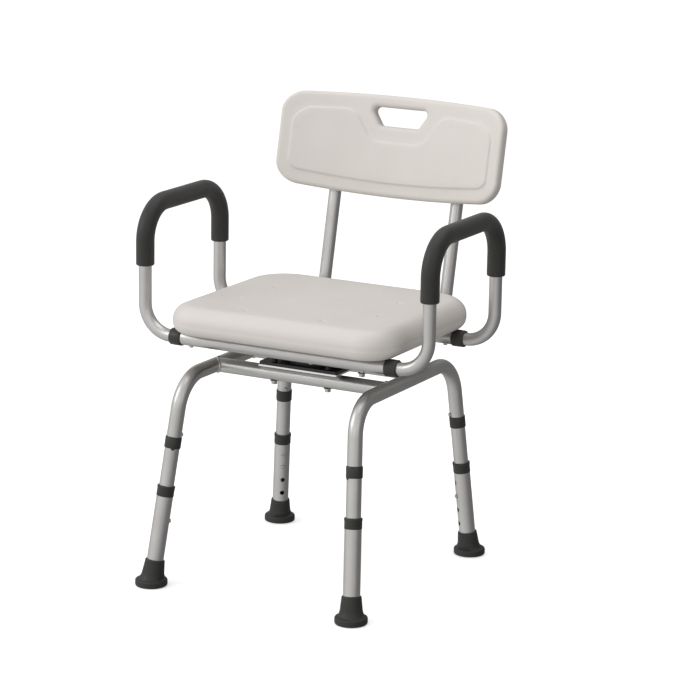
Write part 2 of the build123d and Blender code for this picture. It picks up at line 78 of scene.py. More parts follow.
RECLINE = 0.218  # how far the back goes back for each metre of height


class Grain(Enum):
    """Which way a metal's drawing lines run."""

    EVEN = (1.0, 1.0, 1.0)
    ALONG_X = (0.03, 1.0, 1.0)
    ALONG_Y = (1.0, 0.03, 1.0)
    ALONG_Z = (1.0, 1.0, 0.03)


class Side(Enum):
    """The chair's two sides, with the sign of X on each."""

    LEFT = -1
    RIGHT = 1

    @property
    def word(self) -> str:
        """The side's name as CAD nodes spell it."""
        return self.name.lower()


def smoothstep(value: Points, low: float, high: float) -> Points:
    """Ease from 0 at low to 1 at high.

    Args:
        value: numbers to ease.
        low: where the step starts.
        high: where the step ends.

    Returns:
        The eased numbers, between 0 and 1.
    """
    t = np.clip((value - low) / (high - low), 0.0, 1.0)
    return t * t * (3.0 - 2.0 * t)


# ---------------------------------------------------------------- finishes


class Recipe:
    """A material's node tree, with short ways to add the nodes the finishes use."""

    def __init__(self, name: str) -> None:
        """Start a material that has a shader and its coordinates.

        Args:
            name: the material's name.
        """
        self.material = bpy.data.materials.new(name)
        self.material.use_nodes = True
        self.nodes = self.material.node_tree.nodes
        self.links = self.material.node_tree.links
        self.shader = self.nodes["Principled BSDF"]
        self.coords = self.nodes.new("ShaderNodeTexCoord")

    def set(self, **values: float | Colour) -> None:
        """Set the shader's own sockets; underscores stand for spaces."""
        for key, value in values.items():
            socket = self.shader.inputs[key.replace("_", " ")]
            socket.default_value = (*value, 1.0) if isinstance(value, tuple) else value

    def stretched(self, scale: Sequence[float]) -> bpy.types.NodeSocket:
        """Object coordinates, scaled along each axis.

        Args:
            scale: the factor for X, Y and Z.

        Returns:
            The vector socket.
        """
        mapping = self.nodes.new("ShaderNodeMapping")
        mapping.inputs["Scale"].default_value = scale
        self.links.new(self.coords.outputs["Object"], mapping.inputs["Vector"])
        return mapping.outputs["Vector"]

    def noise(self, size_mm: float, detail: float = 3.0, scale: Sequence[float] = (1, 1, 1),
              roughness: float = 0.5) -> bpy.types.NodeSocket:
        """Noise whose features are about size_mm across.

        Args:
            size_mm: the size of a feature.
            detail: how many finer octaves it has.
            scale: stretch along each axis.
            roughness: how strong the finer octaves are.

        Returns:
            The factor socket.
        """
        node = self.nodes.new("ShaderNodeTexNoise")
        node.inputs["Scale"].default_value = 1000.0 / size_mm
        node.inputs["Detail"].default_value = detail
        node.inputs["Roughness"].default_value = roughness
        self.links.new(self.stretched(scale), node.inputs["Vector"])
        return node.outputs["Fac"]

    def cells(self, size_mm: float, randomness: float = 1.0) -> bpy.types.NodeSocket:
        """Rounded cells about size_mm across.

        Args:
            size_mm: the size of a cell.
            randomness: how irregular the cells are.

        Returns:
            The distance socket.
        """
        node = self.nodes.new("ShaderNodeTexVoronoi")
        node.inputs["Scale"].default_value = 1000.0 / size_mm
        node.inputs["Randomness"].default_value = randomness
        self.links.new(self.coords.outputs["Object"], node.inputs["Vector"])
        return node.outputs["Distance"]

    def ranged(self, factor: bpy.types.NodeSocket, low: float, high: float,
               start: float = 0.3, end: float = 0.7) -> bpy.types.NodeSocket:
        """Map a factor from start..end to low..high.

        Args:
            factor: the socket to map.
            low: the result at start.
            high: the result at end.
            start: where the factor's range starts.
            end: where the factor's range ends.

        Returns:
            The mapped socket.
        """
        node = self.nodes.new("ShaderNodeMapRange")
        node.inputs["From Min"].default_value = start
        node.inputs["From Max"].default_value = end
        node.inputs["To Min"].default_value = low
        node.inputs["To Max"].default_value = high
        self.links.new(factor, node.inputs["Value"])
        return node.outputs["Result"]

    def tint(self, factor: bpy.types.NodeSocket, dark: Colour, light: Colour,
             start: float = 0.3, end: float = 0.7) -> bpy.types.NodeSocket:
        """A colour between dark and light.

        Args:
            factor: the socket that chooses.
            dark: the colour at start.
            light: the colour at end.
            start: where the blend starts.
            end: where the blend ends.

        Returns:
            The colour socket.
        """
        node = self.nodes.new("ShaderNodeValToRGB")
        node.color_ramp.elements[0].position = start
        node.color_ramp.elements[0].color = (*dark, 1.0)
        node.color_ramp.elements[1].position = end
        node.color_ramp.elements[1].color = (*light, 1.0)
        self.links.new(factor, node.inputs["Fac"])
        return node.outputs["Color"]

    def bumps(self, *layers: tuple[bpy.types.NodeSocket, float, float]) -> None:
        """Stack bump layers onto the shader's normal.

        Args:
            layers: for each layer its height socket, its strength and its depth in millimetres.
        """
        previous = None
        for height, strength, depth_mm in layers:
            node = self.nodes.new("ShaderNodeBump")
            node.inputs["Strength"].default_value = strength
            node.inputs["Distance"].default_value = depth_mm * MM
            self.links.new(height, node.inputs["Height"])
            if previous is not None:
                self.links.new(previous, node.inputs["Normal"])
            previous = node.outputs["Normal"]
        self.links.new(previous, self.shader.inputs["Normal"])

    def feed(self, socket: bpy.types.NodeSocket, name: str) -> None:
        """Link a socket to the shader's input of that name."""
        self.links.new(socket, self.shader.inputs[name])


@dataclass(frozen=True)
class SatinMetal:
    """Drawn and anodised metal: a soft gloss with fine lines along the tube."""

    name: str
    colour: Colour
    gloss: float = 0.36
    grain: Grain = Grain.EVEN
    line_depth: float = 0.02

    def make(self) -> bpy.types.Material:
        """Build the material."""
        recipe = Recipe(self.name)
        dark = tuple(0.93 * c for c in self.colour)
        cloud = recipe.noise(38.0, detail=2.0)
        lines = recipe.noise(0.7, detail=2.0, scale=self.grain.value)
        recipe.feed(recipe.tint(cloud, dark, self.colour), "Base Color")
        recipe.feed(recipe.ranged(lines, self.gloss - 0.05, self.gloss + 0.07), "Roughness")
        recipe.bumps((lines, 0.25, self.line_depth), (recipe.noise(9.0), 0.12, 0.05))
        recipe.set(Metallic=1.0)
        return recipe.material


@dataclass(frozen=True)
class MouldedPlastic:
    """Moulded plastic: an even colour with a fine blasted grain."""

    name: str
    colour: Colour
    gloss: float = 0.45
    grain_mm: float = 0.8
    grain_depth: float = 0.05
    mottle: float = 0.03
    softness: float = 0.0

    def make(self) -> bpy.types.Material:
        """Build the material."""
        recipe = Recipe(self.name)
        dark = tuple((1.0 - self.mottle) * c for c in self.colour)
        cloud = recipe.noise(60.0, detail=3.0)
        grain = recipe.cells(self.grain_mm)
        recipe.feed(recipe.tint(cloud, dark, self.colour), "Base Color")
        recipe.feed(recipe.ranged(grain, self.gloss - 0.04, self.gloss + 0.06, 0.1, 0.7), "Roughness")
        recipe.bumps((grain, 0.35, self.grain_depth), (recipe.noise(14.0, detail=2.0), 0.2, 0.12))
        recipe.set(IOR=1.5, Sheen_Weight=self.softness)
        return recipe.material


@dataclass(frozen=True)
class Foam:
    """Closed-cell foam: a matt skin full of small cells."""

    name: str
    colour: Colour
    cell_mm: float = 1.1

    def make(self) -> bpy.types.Material:
        """Build the material."""
        recipe = Recipe(self.name)
        light = tuple(1.35 * c for c in self.colour)
        cells = recipe.cells(self.cell_mm)
        cloud = recipe.noise(22.0, detail=4.0)
        recipe.feed(recipe.tint(cloud, self.colour, light), "Base Color")
        recipe.feed(recipe.ranged(cells, 0.42, 0.58, 0.1, 0.7), "Roughness")
        recipe.bumps((cells, 0.4, 0.12), (recipe.noise(6.0, detail=3.0), 0.25, 0.25))
        recipe.set(Sheen_Weight=0.12, Sheen_Roughness=0.5, IOR=1.45)
        return recipe.material


@dataclass(frozen=True)
class Rubber:
    """Moulded rubber: nearly black, matt, with a dusty bloom."""

    name: str
    colour: Colour
    gloss: float = 0.55

    def make(self) -> bpy.types.Material:
        """Build the material."""
        recipe = Recipe(self.name)
        bloom = tuple(1.8 * c for c in self.colour)
        dust = recipe.noise(11.0, detail=6.0, roughness=0.6)
        grain = recipe.noise(0.6, detail=2.0)
        recipe.feed(recipe.tint(dust, self.colour, bloom, 0.45, 0.8), "Base Color")
        recipe.feed(recipe.ranged(dust, self.gloss - 0.08, self.gloss + 0.1), "Roughness")
        recipe.bumps((grain, 0.3, 0.05))
        recipe.set(IOR=1.5)
        return recipe.material


# ---------------------------------------------------------------- mesh helpers


def skin_mesh(name: str, vertices: Points, faces: Faces) -> bpy.types.Mesh:
    """A smooth mesh whose faces all look outwards.

    Args:
        name: the mesh's name.
        vertices: its points.
        faces: its faces, as indices of points.

    Returns:
        The mesh.
    """
    mesh = bpy.data.meshes.new(name)
    mesh.from_pydata([tuple(v) for v in vertices], [], faces)
    work = bmesh.new()
    work.from_mesh(mesh)
    bmesh.ops.recalc_face_normals(work, faces=work.faces)
    work.to_mesh(mesh)
    work.free()
    mesh.shade_smooth()
    return mesh


def new_piece(name: str, vertices: Points, faces: Faces, material: bpy.types.Material,
              body: str, slot: str) -> bpy.types.Object:
    """Make a mesh object, dress it and put it on its body.

    Args:
        name: the piece's name.
        vertices: its points, in metres, in the chair's frame.
        faces: its faces, as indices of points.
        material: its material.
        body: the CAD body it rides on.
        slot: the record's material slot; not used.

    Returns:
        The object.
    """
    mesh = skin_mesh(name, vertices, faces)
    piece = bpy.data.objects.new(name, mesh)
    bpy.context.scene.collection.objects.link(piece)
    mesh.materials.append(material)
    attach(piece, body)
    LOG.info("%s: %d points on %s", name, len(mesh.vertices), body)
    return piece


def join_rings(rings: Sequence[Points], closed: bool = False, caps: bool = False
               ) -> Skin:
    """Connect rings of equal length into a skin.

    Args:
        rings: the rings' points, each a closed loop.
        closed: whether the last ring joins the first.
        caps: whether each end is closed by a fan to its middle.

    Returns:
        The points and the faces.
    """
    count = len(rings[0])
    points = [p for ring in rings for p in ring]
    faces = []
    last = len(rings) if closed else len(rings) - 1
    for i in range(last):
        a, b = i * count, ((i + 1) % len(rings)) * count
        for j in range(count):
            k = (j + 1) % count
            faces.append((a + j, a + k, b + k, b + j))
    if caps:
        for ring, start in ((rings[0], 0), (rings[-1], (len(rings) - 1) * count)):
            middle = len(points)
            points.append(np.mean(ring, axis=0))
            faces += [(middle, start + (j + 1) % count, start + j) for j in range(count)]
    return np.array(points), faces


def tube_rings(path: Points, radii: Sequence[float], sides: int) -> list[Points]:
    """Rings across a path that stay square to it.

    Args:
        path: the points of the centreline.
        radii: a radius for each point.
        sides: the number of points in a ring.

    Returns:
        The rings.
    """
    tangents = np.gradient(path, axis=0)
    tangents /= np.linalg.norm(tangents, axis=1)[:, None]
    angles = np.linspace(0, 2 * pi, sides, endpoint=False)[:, None]
    across = np.cross(tangents[0], np.eye(3)[int(np.argmin(np.abs(tangents[0])))])
    rings = []
    for point, tangent, radius in zip(path, tangents, radii):
        across = across - tangent * (across @ tangent)
        across /= np.linalg.norm(across)
        other = np.cross(tangent, across)
        rings.append(point + radius * (np.cos(angles) * across + np.sin(angles) * other))
    return rings


def cut_away(piece: bpy.types.Object, cutters: Iterable[bpy.types.Object]) -> None:
    """Cut shapes out of a piece and delete them.

    Args:
        piece: the object that is cut.
        cutters: the objects that cut it.
    """
    for cutter in list(cutters):
        modifier = piece.modifiers.new("cut", "BOOLEAN")
        modifier.operation = "DIFFERENCE"
        modifier.solver = "EXACT"
        modifier.object = cutter
        graph = bpy.context.evaluated_depsgraph_get()
        graph.update()
        result = bpy.data.meshes.new_from_object(piece.evaluated_get(graph))
        piece.modifiers.clear()
        piece.data = result
        bpy.data.objects.remove(cutter)


QUARTERS = ((-1, -1), (1, -1), (-1, 1), (1, 1))
LEG_NAMES = ("front_left", "front_right", "rear_left", "rear_right")


def mesh_points(node: str) -> Points:
    """A CAD node's points, in metres.

    Args:
        node: the node's name.

    Returns:
        The points, one to a row.
    """
    mesh = bpy.data.objects[node].data
    values = np.empty(3 * len(mesh.vertices))
    mesh.vertices.foreach_get("co", values)
    return values.reshape(-1, 3)


def middle_of(node: str) -> Points:
    """The middle of a CAD node's box."""
    low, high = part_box(node)
    return (np.array(low) + np.array(high)) / 2


def half_height(node: str) -> float:
    """Half of the height of a CAD node's box."""
    (_, _, low), (_, _, high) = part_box(node)
    return (high - low) / 2


def up_the_back() -> Points:
    """The way up the leaning back, as a unit vector."""
    return np.array([0.0, RECLINE, 1.0]) / sqrt(1 + RECLINE ** 2)


def quarter_middle(node: str, sx: int, sy: int) -> Points:
    """The middle of the part of a node that stands in one quarter round the swivel axis.

    Args:
        node: the node's name.
        sx: the sign of X in that quarter.
        sy: the sign of Y from the swivel axis in that quarter.

    Returns:
        The middle.
    """
    points, axis = mesh_points(node), middle_of("swivel_balls")
    mine = points[(points[:, 0] * sx > 0) & ((points[:, 1] - axis[1]) * sy > 0)]
    return (mine.max(axis=0) + mine.min(axis=0)) / 2


def merged(parts: Iterable[Skin]) -> Skin:
    """Put several skins into one mesh.

    Args:
        parts: the points and faces of each.

    Returns:
        The points and faces of all.
    """
    points, faces, start = [], [], 0
    for some, theirs in parts:
        points.append(some)
        faces += [tuple(i + start for i in face) for face in theirs]
        start += len(some)
    return np.concatenate(points), faces


def strip(first: Sequence[int], second: Sequence[int]) -> Faces:
    """The faces between two closed rows of points.

    Args:
        first: the indices of one row.
        second: the indices of the other, of the same length.

    Returns:
        The faces.
    """
    count = len(first)
    return [(first[i], first[(i + 1) % count], second[(i + 1) % count], second[i]) for i in range(count)]


def lathe(profile: Sequence[tuple[float, float]], origin: Points, along: Sequence[float], sides: int,
          facing: Sequence[float] | None = None) -> list[Points]:
    """Rings turned about an axis.

    Args:
        profile: radius and distance along the axis for each ring.
        origin: where the distance is 0.
        along: the axis.
        sides: the number of points in a ring.
        facing: a direction for the first point of each ring.

    Returns:
        The rings.
    """
    axis = np.array(along, dtype=float) / np.linalg.norm(along)
    start = np.array(facing) if facing is not None else np.eye(3)[int(np.argmin(np.abs(axis)))]
    first = start - axis * (start @ axis)
    first /= np.linalg.norm(first)
    second = np.cross(axis, first)
    angles = np.linspace(0, 2 * pi, sides, endpoint=False)[:, None]
    circle = np.cos(angles) * first + np.sin(angles) * second
    return [np.array(origin) + axis * reach + radius * circle for radius, reach in profile]


def lathe_cutter(profile: Sequence[tuple[float, float]], origin: Points,
                 along: Sequence[float] = (0, 0, 1)) -> bpy.types.Object:
    """A turned solid that cuts other pieces and is then deleted.

    Args:
        profile: radius and distance along the axis for each ring.
        origin: where the distance is 0.
        along: the axis.

    Returns:
        The object.
    """
    points, faces = join_rings(lathe(profile, origin, along, 36), caps=True)
    cutter = bpy.data.objects.new("cutter", skin_mesh("cutter", points, faces))
    bpy.context.scene.collection.objects.link(cutter)
    return cutter


def soften(piece: bpy.types.Object, angle: float = 35.0) -> None:
    """Keep edges sharper than an angle crisp in the shading.

    Args:
        piece: the object.
        angle: the angle, in degrees.
    """
    work = bmesh.new()
    work.from_mesh(piece.data)
    for edge in work.edges:
        edge.smooth = len(edge.link_faces) != 2 or edge.calc_face_angle(0.0) < radians(angle)
    work.to_mesh(piece.data)
    work.free()


def even_steps(first: Points, last: Points, spacing: float) -> Points:
    """Points from first towards last, without last."""
    count = max(1, round(float(np.linalg.norm(last - first)) / spacing))
    return first + np.linspace(0, 1, count + 1)[:-1, None] * (last - first)


def corner_arc(before: Points, corner: Points, after: Points, radius: float, spacing: float) -> Points:
    """The arc that rounds one corner.

    Args:
        before: the point before the corner.
        corner: the corner.
        after: the point after it.
        radius: the arc's radius.
        spacing: the distance between points.

    Returns:
        The arc's points, both ends among them.
    """
    come = (corner - before) / np.linalg.norm(corner - before)
    go = (after - corner) / np.linalg.norm(after - corner)
    turn = np.arccos(np.clip(come @ go, -1, 1))
    reach = radius * np.tan(turn / 2)
    start = corner - come * reach
    inward = (go - come * (come @ go)) / np.sin(turn)
    angles = np.linspace(0, turn, max(3, round(float(radius * turn / spacing)) + 1))[:, None]
    return start + radius * (np.sin(angles) * come + (1 - np.cos(angles)) * inward)


def bent_path(corners: Sequence[Sequence[float]], radius: float, spacing: float) -> Points:
    """A line through corners that are rounded.

    Args:
        corners: the ends and the corners between them.
        radius: the bends' radius.
        spacing: the distance between points.

    Returns:
        The points.
    """
    spots = [np.array(c, dtype=float) for c in corners]
    parts, last = [], spots[0]
    for before, corner, after in zip(spots, spots[1:], spots[2:]):
        arc = corner_arc(before, corner, after, radius, spacing)
        parts += [even_steps(last, arc[0], spacing), arc[:-1]]
        last = arc[-1]
    parts += [even_steps(last, spots[-1], spacing), spots[-1][None]]
    return np.concatenate(parts)


def rounded_loop(corners: Sequence[tuple[float, float]], radii: Sequence[float], spacing: float) -> Points:
    """A closed flat loop whose corners are rounded.

    Args:
        corners: the corners, anticlockwise.
        radii: the radius at each corner.
        spacing: the distance between points.

    Returns:
        The points.
    """
    spots = [np.array(c, dtype=float) for c in corners]
    count = len(spots)
    arcs = [
        corner_arc(spots[i - 1], spots[i], spots[(i + 1) % count], radii[i], min(spacing, radii[i] / 5))
        for i in range(count)
    ]
    parts = []
    for arc, following in zip(arcs, arcs[1:] + arcs[:1]):
        parts += [arc[:-1], even_steps(arc[-1], following[0], spacing)]
    return np.concatenate(parts)


def offset_loop(loop: Points, distance: float) -> Points:
    """A closed anticlockwise loop moved outwards by a distance."""
    ahead = np.roll(loop, -1, axis=0) - np.roll(loop, 1, axis=0)
    ahead /= np.linalg.norm(ahead, axis=1)[:, None]
    return loop + distance * np.column_stack([ahead[:, 1], -ahead[:, 0]])


def inside_loop(points: Points, loop: Points) -> Points:
    """Which points are inside a closed loop.

    Args:
        points: the points.
        loop: the loop.

    Returns:
        True or False for each point.
    """
    inside = np.zeros(len(points), dtype=bool)
    for (x0, y0), (x1, y1) in zip(loop, np.roll(loop, -1, axis=0)):
        crosses = (y0 > points[:, 1]) != (y1 > points[:, 1])
        with np.errstate(divide="ignore", invalid="ignore"):
            at = x0 + (points[:, 1] - y0) * (x1 - x0) / (y1 - y0)
        inside ^= crosses & (points[:, 0] < at)
    return inside


def fill_between(rim: Points, holes: Sequence[Points], loops: Sequence[Points], grid: float,
                 lines: Sequence[Points] = ()) -> tuple[Points, Faces, list[list[int]]]:
    """Fill a flat outline with triangles that follow some loops and lines.

    Args:
        rim: the outline.
        holes: the loops that are left open.
        loops: the loops that edges follow.
        grid: the distance between the points in between.
        lines: open lines that edges follow.

    Returns:
        The points, the faces, and the indices of the points of the rim, of each hole and of each loop.
    """
    closed = [rim, *holes, *loops]
    points, edges, spans = [], [], []
    for chain in [*closed, *lines]:
        start, count = len(points), len(chain)
        points += [Vector(p) for p in chain]
        edges += [(start + i, start + i + 1) for i in range(count - 1)]
        spans.append((start, count))
        if len(spans) <= len(closed):
            edges.append((start + count - 1, start))
    (x0, y0), (x1, y1) = rim.min(axis=0), rim.max(axis=0)
    across, height = np.meshgrid(np.arange(x0 + grid / 2, x1, grid), np.arange(y0 + grid / 2, y1, grid))
    filler = np.column_stack([across.ravel(), height.ravel()])
    near = np.array([tuple(p) for p in points])
    gap = np.array([np.min(np.sum((near - p) ** 2, axis=1)) for p in filler])
    filler = filler[(gap > (0.45 * grid) ** 2) & inside_loop(filler, rim)]
    points += [Vector(p) for p in filler]
    out, _, faces, origins, _, _ = delaunay_2d_cdt(points, edges, [], 0, 1e-7)
    flat = np.array([tuple(p) for p in out])
    centres = np.array([flat[list(face)].mean(axis=0) for face in faces])
    keep = inside_loop(centres, rim)
    for hole in holes:
        keep &= ~inside_loop(centres, hole)
    where = {source: i for i, sources in enumerate(origins) for source in sources}
    spots = [[where[start + i] for i in range(count)] for start, count in spans[:len(closed)]]
    return flat, [tuple(face) for face, kept in zip(faces, keep) if kept], spots


def dress(name: str, material: bpy.types.Material, frame: dict) -> None:
    """Give a CAD node a material.

    Args:
        name: the node's name.
        material: the material.
    """
    node = frame["nodes"][name]
    if not node.material_slots:
        node.data.materials.append(material)
    for slot in node.material_slots:
        slot.material = material
    LOG.info("%s: %s", name, material.name)


# ---------------------------------------------------------------- sub-assemblies


@dataclass
class SeatShell:
    """The blow-moulded seat: a pillow-edged slab with a shallow dish and drain holes."""

    finish: bpy.types.Material
    front_corner: float = 58 * MM
    rear_corner: float = 80 * MM
    top_round: float = 27 * MM
    bottom_round: float = 19 * MM
    dish: float = 2.0 * MM
    parting_ridge: float = 0.3 * MM
    drain_radius: float = 1.6 * MM
    drain_funnel: float = 4.2 * MM
    drain_spots: tuple[tuple[float, float], ...] = ((135, -38), (75, -122), (62, 23), (122, 62))
    dimple_x_mm: tuple[float, ...] = (0.0, 90.0, 170.0)
    dimple_y_mm: tuple[float, ...] = (-125.0, 10.0, 140.0)
    dimple_radius: float = 9 * MM
    dimple_depth: float = 7 * MM
    hollow_radius: float = 15.2 * MM
    hollow_half: float = 12.5 * MM
    corner_points: int = 26
    side_points: int = 34

    def outline(self, inset: float) -> Points:
        """The plan outline, made smaller by inset.

        Args:
            inset: how much smaller, in metres.

        Returns:
            The points, anticlockwise from the front right corner.
        """
        (x0, y0, _), (x1, y1, _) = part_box("seat_panel")
        corners = (
            (x1, y0, self.front_corner, -90), (x1, y1, self.rear_corner, 0),
            (x0, y1, self.rear_corner, 90), (x0, y0, self.front_corner, 180),
        )
        arcs = []
        for x, y, radius, start in corners:
            centre = np.array([x - np.sign(x) * radius, y - np.sign(y - (y0 + y1) / 2) * radius])
            angles = np.radians(np.linspace(start, start + 90, self.corner_points))[:, None]
            arcs.append(centre + (radius - inset) * np.hstack([np.cos(angles), np.sin(angles)]))
        steps = np.linspace(0, 1, self.side_points + 2)[1:-1, None]
        runs = []
        for here, after in zip(arcs, arcs[1:] + arcs[:1]):
            runs += [here, here[-1] * (1 - steps) + after[0] * steps]
        return np.concatenate(runs)

    def rings(self) -> list[Points]:
        """The shell's rings, from the middle of the underside to the middle of the top."""
        (_, y0, z0), (_, y1, z1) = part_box("seat_panel")
        middle = np.array([0.0, (y0 + y1) / 2])
        levels: list[tuple[Points, float | Points]] = []
        under = self.outline(self.bottom_round)
        levels += [(middle + (under - middle) * share, z0) for share in np.linspace(0.06, 0.97, 18)]
        for angle in np.linspace(0, pi / 2, 12):
            height = z0 + self.bottom_round * (1 - cos(angle))
            levels.append((self.outline(self.bottom_round * (1 - sin(angle))), height))
        seam = (z0 + self.bottom_round + z1 - self.top_round) / 2
        for lift, proud in ((-1.0, 0.0), (-0.35, 1.0), (0.35, 1.0), (1.0, 0.0)):
            levels.append((self.outline(self.parting_ridge * (1 - proud)), seam + lift * MM))
        for angle in np.linspace(0, pi / 2, 16):
            height = z1 - self.top_round * (1 - sin(angle))
            levels.append((self.outline(self.top_round * (1 - cos(angle))), height))
        over = self.outline(self.top_round)
        for share in np.linspace(0.985, 0.04, 34):
            drop = self.dish * float(smoothstep(np.array(1 - share), 0.0, 0.75))
            levels.append((middle + (over - middle) * share, z1 - drop))
        return [np.column_stack([flat, np.full(len(flat), height)]) for flat, height in levels]

    def build(self) -> None:
        """Build the seat, then cut its drains, its dimples and the hollows over the arm collars."""
        points, faces = join_rings(self.rings(), caps=True)
        shell = new_piece("seat_shell", points, faces, self.finish, "seat", "white_plastic")
        (_, _, z0), (_, _, z1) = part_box("seat_panel")
        axis = middle_of("swivel_pivot_bolt")
        top = z1 - self.dish
        cutters = []
        for x, y in self.drain_spots:
            for side in Side:
                spot = np.array([side.value * x * MM, axis[1] + y * MM, 0.0])
                radius, funnel = self.drain_radius, self.drain_funnel
                cutters.append(lathe_cutter([
                    (radius, z0 - 10 * MM), (radius, top - 3 * MM), (0.6 * funnel, top - 1.2 * MM),
                    (funnel, top + 0.2 * MM), (1.6 * funnel, top + 3 * MM),
                ], spot))
        for x in self.dimple_x_mm:
            for y in self.dimple_y_mm:
                for side in (Side.RIGHT,) if x == 0 else tuple(Side):
                    spot = np.array([side.value * x * MM, axis[1] + y * MM, 0.0])
                    cutters.append(lathe_cutter([
                        (1.3 * self.dimple_radius, z0 - 3 * MM), (self.dimple_radius, z0),
                        (0.45 * self.dimple_radius, z0 + self.dimple_depth),
                    ], spot))
        for sx, sy in QUARTERS:
            mouth = quarter_middle("arm_socket_collars", sx, sy)
            profile = [(self.hollow_radius, -self.hollow_half), (self.hollow_radius, self.hollow_half)]
            cutters.append(lathe_cutter(profile, mouth, (1, 0, 0)))
        cut_away(shell, cutters)
        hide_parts("seat_panel")


